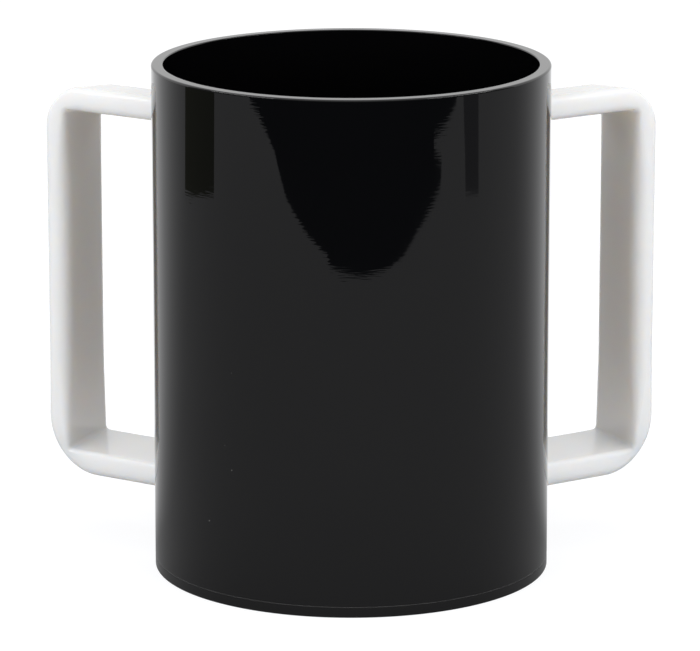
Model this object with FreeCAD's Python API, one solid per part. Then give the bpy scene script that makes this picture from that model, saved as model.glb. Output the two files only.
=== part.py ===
import FreeCAD, Part
import math
import os

# A two-handled cup for pouring water over the hands, built from acrylic tube and sheet.
# Sizes are in millimetres and angles in degrees. The cup stands on the XY plane, centred on Z.
# Both handles are swung towards +Y, so the cup's open front faces -Y.

# The cup's body: a length of tube cemented onto a disc of the same outside diameter.
cup_outside_diameter = 100.0
tube_wall = 3.0
tube_length = 126.6
rim_outer_break = 0.5
rim_inner_break = 0.3
base_thickness = 2.7
base_foot_break = 0.4

# The joint under the tube: both edges are broken, which leaves a fine groove round the outside,
# and the cement squeezes out into a small bead in the corner inside.
seam_edge_break = 0.2
seam_film = 0.1
seam_bead = 0.7

# The handles: each is a C of thick strip with round outer corners and its long edges rounded over.
# Its arms lean towards each other: at the back, each is closer to the other by the lean.
handle_swing = 33.0
finger_gap = 33.0
handle_width = 18.0
handle_thickness = 6.4
handle_below_rim = 12.8
handle_above_table = 12.8
handle_lean = 1.8
upper_outer_corner = 11.4
lower_outer_corner = 15.2
handle_inner_corner = 1.0
handle_edge_round = 1.3
edge_round_limit_share = 0.42

# The cement under each handle foot spreads a little past the foot on all sides.
foot_film = 0.15
foot_film_margin = 0.5

# How far a cutting shape runs past what it cuts.
overrun = 1.0

# Sizes that follow from the ones above.
cup_radius = cup_outside_diameter / 2
bore_radius = cup_radius - tube_wall
tube_foot = base_thickness + seam_film
rim_height = tube_foot + tube_length
handle_top = rim_height - handle_below_rim
handle_front = -handle_width / 2
lean_slope = handle_lean / handle_width
grip_inner = cup_radius + finger_gap
grip_outer = grip_inner + handle_thickness

# Across a corner the strip is thinner than along its arms, which limits how far its edges are rounded.
largest_corner = max(upper_outer_corner, lower_outer_corner)
corner_step = largest_corner - handle_thickness - handle_inner_corner
corner_wall = largest_corner - handle_inner_corner - math.hypot(corner_step, corner_step)
thinnest_wall = min(handle_thickness, corner_wall)
long_edge_round = min(handle_edge_round, thinnest_wall * edge_round_limit_share)

# The cement pad under a foot, and where the arms' blanks start inside the tube's wall.
pad_width = handle_width + 2 * foot_film_margin
pad_height = handle_thickness + 2 * foot_film_margin
arm_root = math.sqrt(cup_radius ** 2 - (pad_width / 2) ** 2) - overrun

ORIGIN = FreeCAD.Vector(0, 0, 0)
UP = FreeCAD.Vector(0, 0, 1)
ACROSS = FreeCAD.Vector(1, 0, 0)
TOLERANCE = overrun / 1000


def flat_face(points):
    """A flat face with straight sides from point to point."""
    return Part.Face(Part.makePolygon(points + points[:1]))


def turned(corners):
    """A solid of revolution about Z from the corners of its section, each (radius, height)."""
    section = flat_face([FreeCAD.Vector(radius, 0, height) for radius, height in corners])
    return section.revolve(ORIGIN, UP, 360)


def cup_tube():
    """The wall of the cup: a flat cut rim with both its edges broken, and a broken edge at the seam."""
    return turned([
        (bore_radius, tube_foot),
        (cup_radius - seam_edge_break, tube_foot),
        (cup_radius, tube_foot + seam_edge_break),
        (cup_radius, rim_height - rim_outer_break),
        (cup_radius - rim_outer_break, rim_height),
        (bore_radius + rim_inner_break, rim_height),
        (bore_radius, rim_height - rim_inner_break),
    ])


def base_disc():
    """The floor of the cup, which is also what it stands on."""
    return turned([
        (0, 0),
        (cup_radius - base_foot_break, 0),
        (cup_radius, base_foot_break),
        (cup_radius, base_thickness - seam_edge_break),
        (cup_radius - seam_edge_break, base_thickness),
        (0, base_thickness),
    ])


def base_seam_cement():
    """The thin ring of cement between tube and disc, with its bead in the corner inside."""
    return turned([
        (bore_radius - seam_bead, base_thickness),
        (cup_radius - seam_edge_break, base_thickness),
        (cup_radius - seam_edge_break, tube_foot),
        (bore_radius, tube_foot),
        (bore_radius, tube_foot + seam_bead),
    ])


def full_height_cylinder(radius):
    """A cylinder about the cup's axis that runs past both of its ends."""
    return Part.makeCylinder(radius, rim_height + 2 * overrun, FreeCAD.Vector(0, 0, -overrun), UP)


def leaning_block(start, end, width, bottom, top, bottom_slope, top_slope):
    """A block along +X. Its bottom and top are heights at the handle's front, which change by
    their slopes towards the back."""
    corners = [
        (-width / 2, bottom, bottom_slope),
        (width / 2, bottom, bottom_slope),
        (width / 2, top, top_slope),
        (-width / 2, top, top_slope),
    ]
    section = flat_face([FreeCAD.Vector(start, y, height + slope * (y - handle_front))
                         for y, height, slope in corners])
    return section.extrude(FreeCAD.Vector(end - start, 0, 0))


def rounded_end(block, end, lower_corner, upper_corner):
    """Rounds a block's bottom and top where they meet its far end."""
    middle = block.BoundBox.Center.z
    for radius, is_upper in ((lower_corner, False), (upper_corner, True)):
        corner_edges = [edge for edge in block.Edges
                        if edge.BoundBox.XMin > end - TOLERANCE
                        and edge.BoundBox.YLength > TOLERANCE
                        and (edge.BoundBox.Center.z > middle) == is_upper]
        block = block.makeFillet(radius, corner_edges)
    return block


def lies_across(edge, y):
    """True for an edge that stays in the plane at this y and isn't part of the hidden foot end."""
    box = edge.BoundBox
    in_plane = abs(box.YMin - y) < TOLERANCE and abs(box.YMax - y) < TOLERANCE
    return in_plane and box.XMax > arm_root + TOLERANCE


def handle_blank():
    """The C before its feet are hollowed, standing out along +X with its front towards -Y."""
    outside = leaning_block(arm_root, grip_outer, handle_width,
                            handle_above_table, handle_top, lean_slope, -lean_slope)
    outside = rounded_end(outside, grip_outer, lower_outer_corner, upper_outer_corner)
    opening = leaning_block(arm_root - overrun, grip_inner, handle_width + 2 * overrun,
                            handle_above_table + handle_thickness, handle_top - handle_thickness,
                            lean_slope, -lean_slope)
    opening = rounded_end(opening, grip_inner, handle_inner_corner, handle_inner_corner)
    blank = outside.cut(opening)
    long_edges = [edge for edge in blank.Edges
                  if lies_across(edge, handle_front) or lies_across(edge, -handle_front)]
    return blank.makeFillet(long_edge_round, long_edges)


def handle():
    """The C with both feet hollowed to sit on the cement round the tube."""
    return handle_blank().cut(full_height_cylinder(cup_radius + foot_film))


def foot_cement(foot_bottom, slope):
    """The curved pad of cement under one handle foot, wrapped onto the tube."""
    pad_bottom = foot_bottom - foot_film_margin
    pad = leaning_block(arm_root, cup_radius + foot_film + overrun, pad_width,
                        pad_bottom, pad_bottom + pad_height, slope, slope)
    return pad.common(full_height_cylinder(cup_radius + foot_film)).cut(full_height_cylinder(cup_radius))


def pieces():
    """Every piece of the cup by name. What belongs to the left handle mirrors the right one's."""
    named = {
        "cup_tube": cup_tube(),
        "base_disc": base_disc(),
        "base_seam_cement": base_seam_cement(),
    }
    right = {
        "handle": handle(),
        "upper_foot_cement": foot_cement(handle_top - handle_thickness, -lean_slope),
        "lower_foot_cement": foot_cement(handle_above_table, lean_slope),
    }
    for name, shape in right.items():
        shape.rotate(ORIGIN, UP, handle_swing)
        named["right_" + name] = shape
        named["left_" + name] = shape.mirror(ORIGIN, ACROSS)
    return named


def main():
    os.makedirs("parts", exist_ok=True)
    for name, shape in pieces().items():
        solid = shape.Solids[0]
        solid.exportStep(os.path.join("parts", name + ".step"))


main()
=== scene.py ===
import functools
import math

import bpy
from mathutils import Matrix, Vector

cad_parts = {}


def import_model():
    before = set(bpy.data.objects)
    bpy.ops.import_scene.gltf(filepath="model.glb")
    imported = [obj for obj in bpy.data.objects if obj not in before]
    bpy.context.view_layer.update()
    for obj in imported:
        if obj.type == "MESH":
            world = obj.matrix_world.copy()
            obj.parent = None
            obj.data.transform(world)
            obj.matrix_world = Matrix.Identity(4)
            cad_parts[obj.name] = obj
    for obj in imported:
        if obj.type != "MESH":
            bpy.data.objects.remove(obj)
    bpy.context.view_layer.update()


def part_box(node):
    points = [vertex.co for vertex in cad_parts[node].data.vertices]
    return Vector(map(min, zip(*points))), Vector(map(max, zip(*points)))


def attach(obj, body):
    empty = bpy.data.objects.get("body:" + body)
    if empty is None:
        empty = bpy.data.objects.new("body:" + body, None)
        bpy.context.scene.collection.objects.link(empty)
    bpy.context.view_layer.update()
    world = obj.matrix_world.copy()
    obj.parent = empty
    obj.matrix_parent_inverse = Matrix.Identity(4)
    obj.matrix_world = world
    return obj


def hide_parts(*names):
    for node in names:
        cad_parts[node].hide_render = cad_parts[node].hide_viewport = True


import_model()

# Lengths are in metres, heights from the table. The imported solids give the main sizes.
MM = 0.001
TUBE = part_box("cup_tube")
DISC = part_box("base_disc")
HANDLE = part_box("right_handle")

CUP_RADIUS = TUBE[1].x
RIM_HEIGHT = TUBE[1].z
TUBE_FOOT = TUBE[0].z
DISC_TOP = DISC[1].z
TUBE_WALL = 3 * MM
BORE = CUP_RADIUS - TUBE_WALL
RIM_OUTER_ROUND = 0.5 * MM
RIM_INNER_ROUND = 0.3 * MM
DISC_FOOT_ROUND = 0.4 * MM

# At the seam the outside slopes in very little, with points at these shares of the slope, and the cement
# fills the corner inside.
SEAM_DIP = 0.035 * MM
SEAM_SLOPE = 0.3 * MM
SEAM_SLOPE_SHARES = (0.2, 1)
SEAM_BEAD = 0.7 * MM

# Each handle is swung back, and its arms lean towards each other at the back. The left one mirrors the right.
HANDLE_SWING = math.radians(33)
SIDES = {"right": 1, "left": -1}
HANDLE_THICKNESS = 6.4 * MM
HANDLE_WIDTH = 18 * MM
HANDLE_LEAN = 1.8 * MM
FINGER_GAP = 33 * MM
GRIP_INNER = CUP_RADIUS + FINGER_GAP
GRIP_OUTER = GRIP_INNER + HANDLE_THICKNESS
HANDLE_BOTTOM = HANDLE[0].z
HANDLE_TOP = HANDLE[1].z
UPPER_CORNER = 11.4 * MM
LOWER_CORNER = 15.2 * MM
INNER_CORNER = 1 * MM

# The rounds of the long edges: outer front, outer back, inner front and inner back. Across a corner
# the strip is thin, so they shrink there to a share of it, and the corner is drawn in to match.
UPPER_ROUNDS = (2.4 * MM, 3.3 * MM, 1.8 * MM, 2.3 * MM)
LOWER_ROUNDS = (2 * MM, 2 * MM, 1.3 * MM, 1.3 * MM)
GRIP_ROUNDS = (2.3 * MM, 2.6 * MM, 3.7 * MM, 2 * MM)
ROUND_LIMIT_SHARE = 0.42
FAIRING_SHARE = 0.38

# Each foot sits on a film of cement, which spreads round it into a hollow fillet.
FOOT_FILM = 0.15 * MM
FOOT_SEAT = CUP_RADIUS + FOOT_FILM
FOOT_BEAD = 0.5 * MM

# How finely curves are divided. A hold is a narrow strip that keeps a flat face flat beside a round.
AROUND_STEPS = 288
ROUND_STEPS = 6
CORNER_STEPS = 18
ARM_STEPS = 8
GRIP_STEPS = 6
ACROSS_STEPS = 10
HOLD = 0.15 * MM
SHARP_ANGLE = math.radians(35)


def new_object(name, vertices, faces):
    mesh = bpy.data.meshes.new(name)
    mesh.from_pydata(vertices, [], faces)
    mesh.validate()
    mesh.shade_smooth()
    mesh.set_sharp_from_angle(angle=SHARP_ANGLE)
    thing = bpy.data.objects.new(name, mesh)
    bpy.context.scene.collection.objects.link(thing)
    return thing


def arc(centre, radius, start, end, steps=ROUND_STEPS):
    """Points on an arc, from one angle in degrees to another."""
    points = []
    for step in range(steps + 1):
        angle = math.radians(start + (end - start) * step / steps)
        points.append((centre[0] + radius * math.cos(angle), centre[1] + radius * math.sin(angle)))
    return points


def turned(name, profile, closed):
    """Turns (radius, height) points about the cup's axis. An open profile starts and ends on the axis."""
    vertices, faces, rings = [], [], []
    for radius, height in profile:
        count = AROUND_STEPS if radius > 0 else 1
        rings.append(range(len(vertices), len(vertices) + count))
        for step in range(count):
            angle = 2 * math.pi * step / AROUND_STEPS
            vertices.append((radius * math.cos(angle), radius * math.sin(angle), height))
    pairs = list(zip(rings, rings[1:]))
    if closed:
        pairs.append((rings[-1], rings[0]))
    for first, second in pairs:
        for step in range(AROUND_STEPS):
            after = (step + 1) % AROUND_STEPS
            if len(first) == 1:
                faces.append((first[0], second[after], second[step]))
            elif len(second) == 1:
                faces.append((first[step], first[after], second[0]))
            else:
                faces.append((first[step], first[after], second[after], second[step]))
    return new_object(name, vertices, faces)


def skin(rings, around, closed):
    """The faces between rings of this many points around. A closed skin joins the last ring to the first."""
    faces = []
    for place in range(rings if closed else rings - 1):
        start, after = place * around, (place + 1) % rings * around
        for step in range(around):
            beside = (step + 1) % around
            faces.append((start + step, start + beside, after + beside, after + step))
    return faces


# The cup.

def to_seam(height, upwards):
    """The outer wall's points from where it starts to slope in, to its edge at the seam at this height."""
    start = height + upwards * SEAM_SLOPE
    points = [(CUP_RADIUS, start + upwards * HOLD), (CUP_RADIUS, start)]
    for share in SEAM_SLOPE_SHARES:
        points.append((CUP_RADIUS - share * SEAM_DIP, start - upwards * share * SEAM_SLOPE))
    return points


def wall_tube():
    """The cup's wall: a flat cut rim with softened edges, and a wall that dips very little at the seam."""
    outer_rim = (CUP_RADIUS - RIM_OUTER_ROUND, RIM_HEIGHT - RIM_OUTER_ROUND)
    inner_rim = (BORE + RIM_INNER_ROUND, RIM_HEIGHT - RIM_INNER_ROUND)
    return turned("tube_wall", [
        (BORE + HOLD, TUBE_FOOT),
        *to_seam(TUBE_FOOT, 1)[::-1],
        (CUP_RADIUS, outer_rim[1] - HOLD),
        *arc(outer_rim, RIM_OUTER_ROUND, 0, 90),
        (outer_rim[0] - HOLD, RIM_HEIGHT),
        (inner_rim[0] + HOLD, RIM_HEIGHT),
        *arc(inner_rim, RIM_INNER_ROUND, 90, 180),
        (BORE, inner_rim[1] - HOLD),
        (BORE, TUBE_FOOT + HOLD),
        (BORE, TUBE_FOOT),
    ], closed=True)


def floor_disc():
    """The disc that closes the cup, with softened edges."""
    foot = (CUP_RADIUS - DISC_FOOT_ROUND, DISC_FOOT_ROUND)
    return turned("floor_disc", [
        (0, 0),
        (foot[0] - HOLD, 0),
        *arc(foot, DISC_FOOT_ROUND, -90, 0),
        (CUP_RADIUS, foot[1] + HOLD),
        *to_seam(DISC_TOP, -1),
        (0, DISC_TOP),
    ], closed=False)


def seam_ring():
    """The cement between tube and disc: a fine line outside and a small fillet in the corner inside."""
    outside = CUP_RADIUS - SEAM_DIP
    fillet = (BORE - SEAM_BEAD, TUBE_FOOT + SEAM_BEAD)
    return turned("seam_ring", [
        (BORE, TUBE_FOOT),
        *arc(fillet, SEAM_BEAD, 0, -90)[1:-1],
        (fillet[0], DISC_TOP),
        (outside, DISC_TOP),
        (outside, TUBE_FOOT),
    ], closed=True)


# The handles.

def on_side(along, offset, height, side):
    """A point of a handle: how far out, how far towards its back, and how high. Side is 1 for the right."""
    x = along * math.cos(HANDLE_SWING) - offset * math.sin(HANDLE_SWING)
    y = along * math.sin(HANDLE_SWING) + offset * math.cos(HANDLE_SWING)
    return side * x, y, height


def lean(offset):
    """How much nearer the other arm an arm lies at this offset than at its front."""
    return HANDLE_LEAN * (offset / HANDLE_WIDTH + 0.5)


def facing_out(faces, side):
    """Mirrored pieces have their faces turned round, so that they still face outwards."""
    return faces if side > 0 else [face[::-1] for face in faces]


def half_row(edge_round):
    """Half of a broad face as (depth below it, offset): flat first, then its edge's round."""
    flat = HANDLE_WIDTH / 2 - edge_round
    points = [(0, flat * step / ACROSS_STEPS) for step in range(ACROSS_STEPS)]
    points.append((0, flat - HOLD))
    for across, depth in arc((flat, 0), edge_round, 90, 0):
        points.append((edge_round - depth, across))
    points.append((edge_round + HOLD, HANDLE_WIDTH / 2))
    return points


def strip_row(front_round, back_round):
    """One broad face of the strip with the rounds at both its edges, from front to back."""
    front = [(depth, -offset) for depth, offset in half_row(front_round)[:0:-1]]
    return front + half_row(back_round)


def strip_section(rounds):
    """The strip's outline as (is outer, depth, offset), with the rounds in the order given above."""
    outer_front, outer_back, inner_front, inner_back = rounds
    section = [(True, depth, offset) for depth, offset in strip_row(outer_front, outer_back)]
    section += [(False, depth, offset) for depth, offset in strip_row(inner_front, inner_back)[::-1]]
    return section


class Arm:
    """An arm of the C with its corner. Outwards is 1 for the upper arm and -1 for the lower."""

    def __init__(self, height, corner, outwards, rounds):
        self.height = height
        self.corner = corner
        self.outwards = outwards
        self.rounds = rounds
        self.section = strip_section(rounds)

    def squeeze(self, angle):
        """The share of the edges' rounds that is left where the strip is thin across its corner."""
        wall = self.corner - (self.corner - HANDLE_THICKNESS) / max(math.sin(angle), math.cos(angle))
        return min(1, ROUND_LIMIT_SHARE * wall / max(self.rounds))

    def fairing(self, angle):
        """How far the corner is drawn in where its edges are less round, so that its outline stays even."""
        return FAIRING_SHARE * self.rounds[0] * (self.squeeze(0) - self.squeeze(angle))

    def straight(self, share, is_outer, depth, foot):
        """A point on the arm, share of the way from its foot to its corner."""
        end = GRIP_OUTER - self.corner if is_outer else GRIP_INNER - INNER_CORNER
        level = depth if is_outer else HANDLE_THICKNESS - depth
        return foot + (end - foot) * share, self.height - self.outwards * level

    def bent(self, angle, is_outer, full_depth):
        """A point in the corner, at an angle from the arm (0) to the grip (a quarter turn)."""
        if is_outer:
            reach = self.corner - self.fairing(angle) - full_depth * self.squeeze(angle)
            centre = (GRIP_OUTER - self.corner, self.height - self.outwards * self.corner)
        else:
            reach = INNER_CORNER + full_depth * self.squeeze(math.pi / 4)
            drop = HANDLE_THICKNESS + INNER_CORNER
            centre = (GRIP_INNER - INNER_CORNER, self.height - self.outwards * drop)
        return centre[0] + reach * math.sin(angle), centre[1] + self.outwards * reach * math.cos(angle)

    def rings(self):
        """The cross cuts from the foot to the end of the corner, as points (along, offset, height)."""
        rings = []
        for step in range(ARM_STEPS + CORNER_STEPS + 1):
            ring = []
            for is_outer, depth, offset in self.section:
                if step < ARM_STEPS:
                    foot = math.sqrt(FOOT_SEAT ** 2 - offset ** 2)
                    along, height = self.straight(step / ARM_STEPS, is_outer, depth, foot)
                else:
                    angle = math.pi / 2 * (step - ARM_STEPS) / CORNER_STEPS
                    along, height = self.bent(angle, is_outer, depth)
                ring.append((along, offset, height - self.outwards * lean(offset)))
            rings.append(ring)
        return rings


UPPER_ARM = Arm(HANDLE_TOP, UPPER_CORNER, 1, UPPER_ROUNDS)
LOWER_ARM = Arm(HANDLE_BOTTOM, LOWER_CORNER, -1, LOWER_ROUNDS)


def grip_rings():
    """The cross cuts of the grip between its corners, where a hand's fingers close on its rounder edges."""
    bottom = HANDLE_BOTTOM + LOWER_CORNER
    top = HANDLE_TOP - UPPER_CORNER
    section = strip_section(GRIP_ROUNDS)
    rings = []
    for step in range(1, GRIP_STEPS):
        height = bottom + (top - bottom) * step / GRIP_STEPS
        rings.append([(GRIP_OUTER - depth if is_outer else GRIP_INNER + depth, offset, height)
                      for is_outer, depth, offset in section])
    return rings


def grip(name, side):
    """A handle: one thick strip led round its C, with both feet hollowed to the cement on the tube."""
    rings = LOWER_ARM.rings() + grip_rings() + UPPER_ARM.rings()[::-1]
    around = len(rings[0])
    vertices = [on_side(*point, side) for ring in rings for point in ring]
    faces = skin(len(rings), around, closed=False)
    last = (len(rings) - 1) * around
    # Bands from one broad face to the other close both feet.
    for step in range(around // 2 - 1):
        cap = (step, around - 1 - step, around - 2 - step, step + 1)
        faces.append(cap)
        faces.append(tuple(last + corner for corner in reversed(cap)))
    return new_object(name, vertices, facing_out(faces, side))


def foot_corner(arm, is_above, is_behind):
    """The centre (offset, height) and the radius of one rounded corner of a handle's foot."""
    outer_front, outer_back, inner_front, inner_back = arm.rounds
    if is_above == (arm.outwards > 0):
        radius = outer_back if is_behind else outer_front
    else:
        radius = inner_back if is_behind else inner_front
    offset = HANDLE_WIDTH / 2 - radius
    height = HANDLE_THICKNESS / 2 - radius
    return offset if is_behind else -offset, height if is_above else -height, radius


def foot_outline(arm):
    """The outline of a handle's foot as (offset, height from its middle, outward normal)."""
    corners = [foot_corner(arm, True, True), foot_corner(arm, True, False)]
    corners += [foot_corner(arm, False, False), foot_corner(arm, False, True)]
    points = []
    for place, (offset, height, radius) in enumerate(corners):
        for sideways, rise in arc((0, 0), 1, 90 * place, 90 * place + 90):
            points.append((offset + radius * sideways, height + radius * rise, sideways, rise))
        # The long sides above and below are divided, because they bend round the tube.
        if place in (0, 2):
            rise = 1 if place == 0 else -1
            far = corners[place + 1][0]
            for step in range(1, 2 * ACROSS_STEPS):
                across = offset + (far - offset) * step / (2 * ACROSS_STEPS)
                points.append((across, rise * HANDLE_THICKNESS / 2, 0, rise))
    return points


def foot_bead(name, arm, side):
    """The cement at a handle's foot: a film under the foot's edge, with a hollow fillet all round it."""
    middle_height = arm.height - arm.outwards * HANDLE_THICKNESS / 2
    section = [(-FOOT_BEAD, 0), (-FOOT_BEAD, FOOT_FILM), (0, FOOT_FILM)]
    section += arc((FOOT_BEAD, FOOT_BEAD), FOOT_BEAD, 180, 270)
    outline = foot_outline(arm)
    vertices = []
    for offset, height, sideways, rise in outline:
        for spread, lift in section:
            across = offset + sideways * spread
            out = math.sqrt((CUP_RADIUS + lift) ** 2 - across ** 2)
            level = middle_height + height + rise * spread - arm.outwards * lean(across)
            vertices.append(on_side(out, across, level, side))
    faces = skin(len(outline), len(section), closed=True)
    return new_object(name, vertices, facing_out(faces, side))


# Materials. Colours and roughnesses come in pairs, and a surface varies between the two.

BLACK = (0.0013, 0.0013, 0.0015, 1)
DUST = (0.3, 0.3, 0.29, 1)
BLACK_ROUGHNESS = (0.02, 0.06)
BLACK_RIPPLE = 0.004 * MM

WHITE = (0.876, 0.86, 0.85, 1)
DEEPER_WHITE = (0.867, 0.851, 0.842, 1)
WHITE_ROUGHNESS = (0.02, 0.05)
GLOW_REACH = 9 * MM
GLOW_SHARES = (1, 0.85, 0.7)
HAND_SMOOTHING = 0.03 * MM
WHITE_GRAIN = 0.002 * MM

CLEAR = (0.93, 0.93, 0.92, 1)
BUBBLE = (0.7, 0.7, 0.7, 1)
CEMENT_ROUGHNESS = (0.05, 0.15)
CEMENT_CLEARNESS = 0.95
CEMENT_WAVES = 0.01 * MM

ACRYLIC_IOR = 1.49


class NodeTree:
    """The nodes of a material or of the world, while they are being put together."""

    def __init__(self, owner):
        owner.use_nodes = True
        self.nodes = owner.node_tree.nodes
        self.links = owner.node_tree.links

    def node(self, kind, inputs, **settings):
        made = self.nodes.new(kind)
        for key, value in settings.items():
            setattr(made, key, value)
        for key, value in inputs.items():
            if isinstance(value, bpy.types.NodeSocket):
                self.links.new(value, made.inputs[key])
            else:
                made.inputs[key].default_value = value
        return made

    def place(self):
        return self.node("ShaderNodeTexCoord", {}).outputs["Object"]

    def spread(self, value, span, reach=(0, 1)):
        """Carries a value over from a span to another reach, and no further than its ends."""
        inputs = {"Value": value}
        inputs["From Min"], inputs["From Max"] = span
        inputs["To Min"], inputs["To Max"] = reach
        return self.node("ShaderNodeMapRange", inputs).outputs["Result"]

    def reckon(self, operation, *values):
        return self.node("ShaderNodeMath", dict(enumerate(values)), operation=operation).outputs["Value"]

    def times(self, one, other):
        return self.reckon("MULTIPLY", one, other)

    def plus(self, one, other):
        return self.reckon("ADD", one, other)

    def seen_by(self, **levels):
        """A level for each kind of ray that is named, and 0 for the light that reaches the cup."""
        path = self.node("ShaderNodeLightPath", {})
        parts = [self.times(path.outputs[f"Is {kind.title()} Ray"], level) for kind, level in levels.items()]
        return functools.reduce(self.plus, parts)


class Shader(NodeTree):
    """A material of the cup, whose nodes lead to its one Principled shader."""

    def __init__(self, name):
        self.material = bpy.data.materials.new(name)
        super().__init__(self.material)
        self.surface = self.nodes["Principled BSDF"]
        self.surface.inputs["IOR"].default_value = ACRYLIC_IOR
        self.on_cup = self.place()

    def stretched(self, scale):
        return self.node("ShaderNodeMapping", {"Vector": self.on_cup, "Scale": scale}).outputs["Vector"]

    def noise(self, scale, detail=2, vector=None):
        inputs = {"Vector": vector or self.on_cup, "Scale": scale, "Detail": detail}
        return self.node("ShaderNodeTexNoise", inputs).outputs["Fac"]

    def specks(self, scale, size):
        """1 inside small specks scattered at this scale, and 0 between them."""
        voronoi = self.node("ShaderNodeTexVoronoi", {"Vector": self.on_cup, "Scale": scale})
        return self.spread(voronoi.outputs["Distance"], (size, size / 2))

    def colour(self, share, one, other):
        """Mixes two base colours. A Mix node's inputs 6 and 7 and its output 2 are those for colours."""
        made = self.node("ShaderNodeMix", {0: share, 6: one, 7: other}, data_type="RGBA")
        self.links.new(made.outputs[2], self.surface.inputs["Base Color"])

    def roughness(self, value):
        self.links.new(value, self.surface.inputs["Roughness"])

    def bumps(self, *heights):
        """Chains bumps, each given as a height and how deep it is in metres."""
        normal = None
        for height, depth in heights:
            inputs = {"Height": height, "Strength": 1, "Distance": depth}
            if normal:
                inputs["Normal"] = normal
            normal = self.node("ShaderNodeBump", inputs).outputs["Normal"]
        self.links.new(normal, self.surface.inputs["Normal"])


def black_acrylic():
    """Polished black acrylic: deep, with faint ripples, a few dust specks and rubbed patches."""
    shader = Shader("black_acrylic")
    dust = shader.specks(scale=260, size=0.05)
    here_and_there = shader.spread(shader.noise(scale=45, detail=0), (0.72, 0.78))
    shader.colour(shader.times(dust, here_and_there), BLACK, DUST)
    shader.roughness(shader.spread(shader.noise(scale=30, detail=4), (0.45, 0.75), BLACK_ROUGHNESS))
    drawn = shader.noise(scale=60, vector=shader.stretched((1, 1, 0.08)))
    ripple = shader.noise(scale=220, detail=1, vector=shader.stretched((1, 1, 8)))
    uneven = shader.spread(shader.noise(scale=55), (0.4, 0.65), (0.15, 1))
    shader.bumps(
        (shader.times(ripple, uneven), BLACK_RIPPLE),
        (shader.noise(scale=28, detail=1), BLACK_RIPPLE),
        (drawn, BLACK_RIPPLE),
    )
    return shader.material


def white_acrylic():
    """White acrylic sheet, a little translucent, with long edges that were smoothed by hand."""
    shader = Shader("white_acrylic")
    shader.surface.inputs["Subsurface Weight"].default_value = 1
    shader.surface.inputs["Subsurface Radius"].default_value = GLOW_SHARES
    shader.surface.inputs["Subsurface Scale"].default_value = GLOW_REACH
    shader.colour(shader.spread(shader.noise(scale=25, detail=3), (0.3, 0.7)), WHITE, DEEPER_WHITE)
    shader.roughness(shader.spread(shader.noise(scale=90, detail=3), (0.35, 0.7), WHITE_ROUGHNESS))
    shader.bumps(
        (shader.noise(scale=140, detail=1), HAND_SMOOTHING),
        (shader.noise(scale=500, detail=1), WHITE_GRAIN),
    )
    return shader.material


def clear_cement():
    """Cured cement: clear and glossy, with a few tiny bubbles."""
    shader = Shader("clear_cement")
    shader.surface.inputs["Transmission Weight"].default_value = CEMENT_CLEARNESS
    shader.colour(shader.specks(scale=1400, size=0.2), CLEAR, BUBBLE)
    shader.roughness(shader.spread(shader.noise(scale=600), (0.3, 0.7), CEMENT_ROUGHNESS))
    shader.bumps((shader.noise(scale=700), CEMENT_WAVES))
    return shader.material


def dress(thing, material, slot_name, *nodes):
    thing.data.materials.append(material)
    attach(thing, "root")
    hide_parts(*nodes)


def build_cup():
    black, white, clear = black_acrylic(), white_acrylic(), clear_cement()
    dress(wall_tube(), black, "black_acrylic", "cup_tube")
    dress(floor_disc(), black, "black_acrylic", "base_disc")
    dress(seam_ring(), clear, "clear_cement", "base_seam_cement")
    for name, side in SIDES.items():
        dress(grip(name + "_grip", side), white, "white_acrylic", name + "_handle")
        for level, arm in (("upper", UPPER_ARM), ("lower", LOWER_ARM)):
            bead = foot_bead(f"{name}_{level}_bead", arm, side)
            dress(bead, clear, "clear_cement", f"{name}_{level}_foot_cement")


# The table and the world look white, but give less light than they show. Reflections see the table
# brighten by a curve, from where it lies this share of straight behind the cup.
FLOOR_SIZE = 8
FLOOR_COLOUR = (0.22, 0.22, 0.225, 1)
FILL_COLOUR = (0.985, 0.99, 1, 1)
FLOOR_FILL = 0.87
FLOOR_AHEAD = 0.16
FLOOR_BEHIND = 0.86
FLOOR_BEHIND_FROM = 0.2
FLOOR_BEHIND_CURVE = 1.7
WORLD_COLOUR = (1, 1, 1, 1)
WORLD_LIGHT = 0.56

# Dark parts of the studio, as outlines on the table: the room beyond its front edge, and two stands.
# They lie where the wall mirrors them as the dark shapes in the photograph.
TABLE_FRONT = [
    (-1.9, -1.14), (-0.602, -0.379), (-0.536, -0.417), (-0.46, -0.443), (-0.409, -0.451), (-0.309, -0.434),
    (-0.25, -0.439), (-0.103, -0.439), (-0.083, -0.425), (-0.034, -0.423), (0.091, -0.414), (0.206, -0.393),
    (0.273, -0.389), (0.356, -0.371), (0.42, -0.355), (0.457, -0.373), (0.445, -0.429), (0.459, -0.442),
    (0.523, -0.402), (0.608, -0.35), (1.9, -1.03), (1.9, -3.4), (-1.9, -3.4),
]
LEFT_STAND = [
    (-0.488, 0.143), (-0.512, 0.02), (-0.515, -0.076), (-0.692, -0.099), (-1.3, -0.16), (-1.3, 0.394),
]
RIGHT_STAND = [
    (0.482, -0.219), (0.555, -0.254), (0.639, -0.304), (1.3, -0.697), (1.3, -0.343), (0.678, -0.184),
    (0.506, -0.141),
]
TABLE_FRONT_COLOUR = (0.025, 0.028, 0.033, 1)
LEFT_STAND_COLOUR = (0.086, 0.089, 0.065, 1)
RIGHT_STAND_COLOUR = (0.17, 0.17, 0.18, 1)
GLOOM_LIFT = 1 * MM

# The unlit half of the room is a wall round the table, which turns this far to both sides of the front.
ROOM_RADIUS = 3.2
ROOM_HEIGHT = 2.4
ROOM_TURN = 105
ROOM_STEPS = 24
ROOM_COLOUR = (0.12, 0.12, 0.12, 1)

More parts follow.
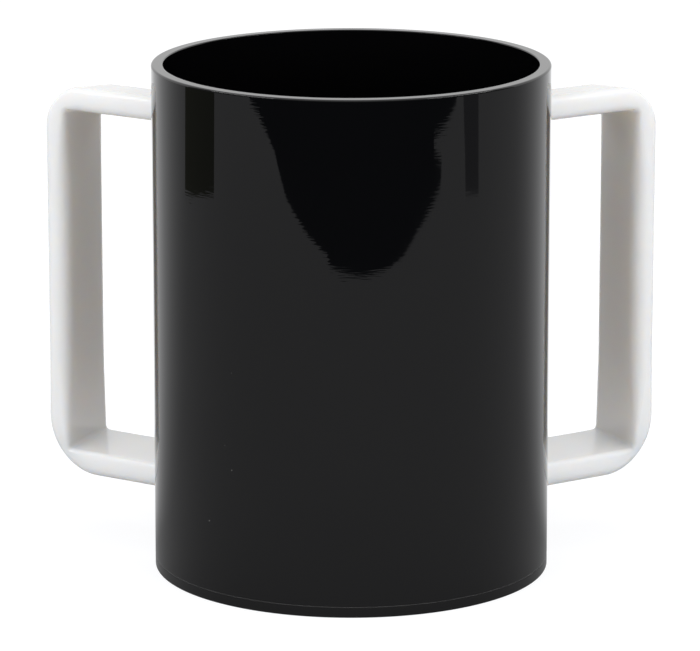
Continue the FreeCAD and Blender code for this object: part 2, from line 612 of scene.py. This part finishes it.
# The lamps. Azimuth 0 is in front of the cup and 90 to its right, in degrees. Power is in watts.
SOFTBOX_AZIMUTH = 36
SOFTBOX = {"elevation": 9, "distance": 1.5, "size": (0.6, 0.5), "power": 12.4}
STRIP_AZIMUTH = 74
STRIP = {"elevation": 40, "distance": 1.5, "size": (1.1, 0.1), "power": 3.6, "reflected": True}
REAR_AZIMUTH = 180
REAR_SOFTBOX = {"elevation": 52, "distance": 1.3, "size": (0.9, 0.35), "power": 2.75}

# The photograph's view, found from the outlines of the rim, the wall and the base. Lens and sensor are in mm.
CAMERA_PLACE = (-0.0003, -1.147, 0.340)
CAMERA_DOWN = math.radians(13.63)
CAMERA_LENS = 240
CAMERA_SENSOR = 36
CAMERA_NEAR = 0.05
CAMERA_FAR = 50


def seen_behind(tree):
    """How bright reflections see the table: more and more towards straight behind the cup."""
    direction = tree.node("ShaderNodeVectorMath", {0: tree.place()}, operation="NORMALIZE").outputs["Vector"]
    backwards = tree.node("ShaderNodeSeparateXYZ", {"Vector": direction}).outputs["Y"]
    curve = tree.reckon("POWER", tree.spread(backwards, (FLOOR_BEHIND_FROM, 1)), FLOOR_BEHIND_CURVE)
    return tree.reckon("MULTIPLY_ADD", curve, FLOOR_BEHIND, FLOOR_AHEAD)


def floor_material():
    material = bpy.data.materials.new("floor")
    tree = NodeTree(material)
    tree.nodes.remove(tree.nodes["Principled BSDF"])
    matt = tree.node("ShaderNodeBsdfDiffuse", {"Color": FLOOR_COLOUR}).outputs["BSDF"]
    level = tree.seen_by(camera=FLOOR_FILL, transmission=FLOOR_FILL, glossy=seen_behind(tree))
    fill = tree.node("ShaderNodeEmission", {"Color": FILL_COLOUR, "Strength": level}).outputs["Emission"]
    both = tree.node("ShaderNodeAddShader", {0: matt, 1: fill}).outputs["Shader"]
    tree.links.new(both, tree.nodes["Material Output"].inputs["Surface"])
    return material


def floor():
    half = FLOOR_SIZE / 2
    corners = [(-half, -half, 0), (half, -half, 0), (half, half, 0), (-half, half, 0)]
    plane = new_object("floor", corners, [(0, 1, 2, 3)])
    plane.data.materials.append(floor_material())


def gloom(name, points, faces, colour):
    """A dark part of the studio that only reflections show."""
    card = new_object(name, points, faces)
    card.visible_camera = False
    card.visible_diffuse = False
    card.visible_transmission = False
    card.visible_shadow = False
    material = bpy.data.materials.new(name)
    surface = NodeTree(material).nodes["Principled BSDF"]
    surface.inputs["Base Color"].default_value = (0, 0, 0, 1)
    surface.inputs["Specular IOR Level"].default_value = 0
    surface.inputs["Emission Color"].default_value = colour
    surface.inputs["Emission Strength"].default_value = 1
    card.data.materials.append(material)


def flat_gloom(name, outline, colour):
    points = [(x, y, GLOOM_LIFT) for x, y in outline]
    gloom(name, points, [tuple(range(len(points)))], colour)


def dark_room():
    points = []
    for step in range(ROOM_STEPS + 1):
        angle = math.radians(-90 - ROOM_TURN + 2 * ROOM_TURN * step / ROOM_STEPS)
        x, y = ROOM_RADIUS * math.cos(angle), ROOM_RADIUS * math.sin(angle)
        points += [(x, y, 0), (x, y, ROOM_HEIGHT)]
    faces = [(2 * step, 2 * step + 2, 2 * step + 3, 2 * step + 1) for step in range(ROOM_STEPS)]
    gloom("dark_room", points, faces, ROOM_COLOUR)


def world():
    made = bpy.data.worlds.new("studio")
    tree = NodeTree(made)
    rest = 1 - WORLD_LIGHT
    level = tree.plus(tree.seen_by(camera=rest, transmission=rest, glossy=rest), WORLD_LIGHT)
    background = tree.nodes["Background"]
    background.inputs["Color"].default_value = WORLD_COLOUR
    tree.links.new(level, background.inputs["Strength"])
    bpy.context.scene.world = made


def lamp(name, azimuth, elevation, distance, size, power, reflected=False):
    """An area light that faces the cup's middle. The cup's gloss shows it only if it is reflected."""
    data = bpy.data.lights.new(name, "AREA")
    data.shape = "RECTANGLE"
    data.size, data.size_y = size
    data.energy = power
    made = bpy.data.objects.new(name, data)
    made.visible_glossy = reflected
    turn, rise = math.radians(azimuth), math.radians(elevation)
    made.location = (
        distance * math.sin(turn) * math.cos(rise),
        -distance * math.cos(turn) * math.cos(rise),
        RIM_HEIGHT / 2 + distance * math.sin(rise),
    )
    made.rotation_euler = (math.pi / 2 - rise, 0, turn)
    bpy.context.scene.collection.objects.link(made)


def camera():
    data = bpy.data.cameras.new("camera")
    data.sensor_width = CAMERA_SENSOR
    data.lens = CAMERA_LENS
    data.clip_start = CAMERA_NEAR
    data.clip_end = CAMERA_FAR
    made = bpy.data.objects.new("camera", data)
    made.location = CAMERA_PLACE
    made.rotation_euler = (math.pi / 2 - CAMERA_DOWN, 0, 0)
    bpy.context.scene.collection.objects.link(made)
    bpy.context.scene.camera = made


def studio():
    world()
    floor()
    flat_gloom("table_front", TABLE_FRONT, TABLE_FRONT_COLOUR)
    flat_gloom("left_stand", LEFT_STAND, LEFT_STAND_COLOUR)
    flat_gloom("right_stand", RIGHT_STAND, RIGHT_STAND_COLOUR)
    dark_room()
    for name, side in SIDES.items():
        lamp(name + "_softbox", side * SOFTBOX_AZIMUTH, **SOFTBOX)
        lamp(name + "_strip", side * STRIP_AZIMUTH, **STRIP)
    lamp("rear_softbox", REAR_AZIMUTH, **REAR_SOFTBOX)
    camera()


bpy.context.scene.view_settings.view_transform = "Standard"
build_cup()
studio()
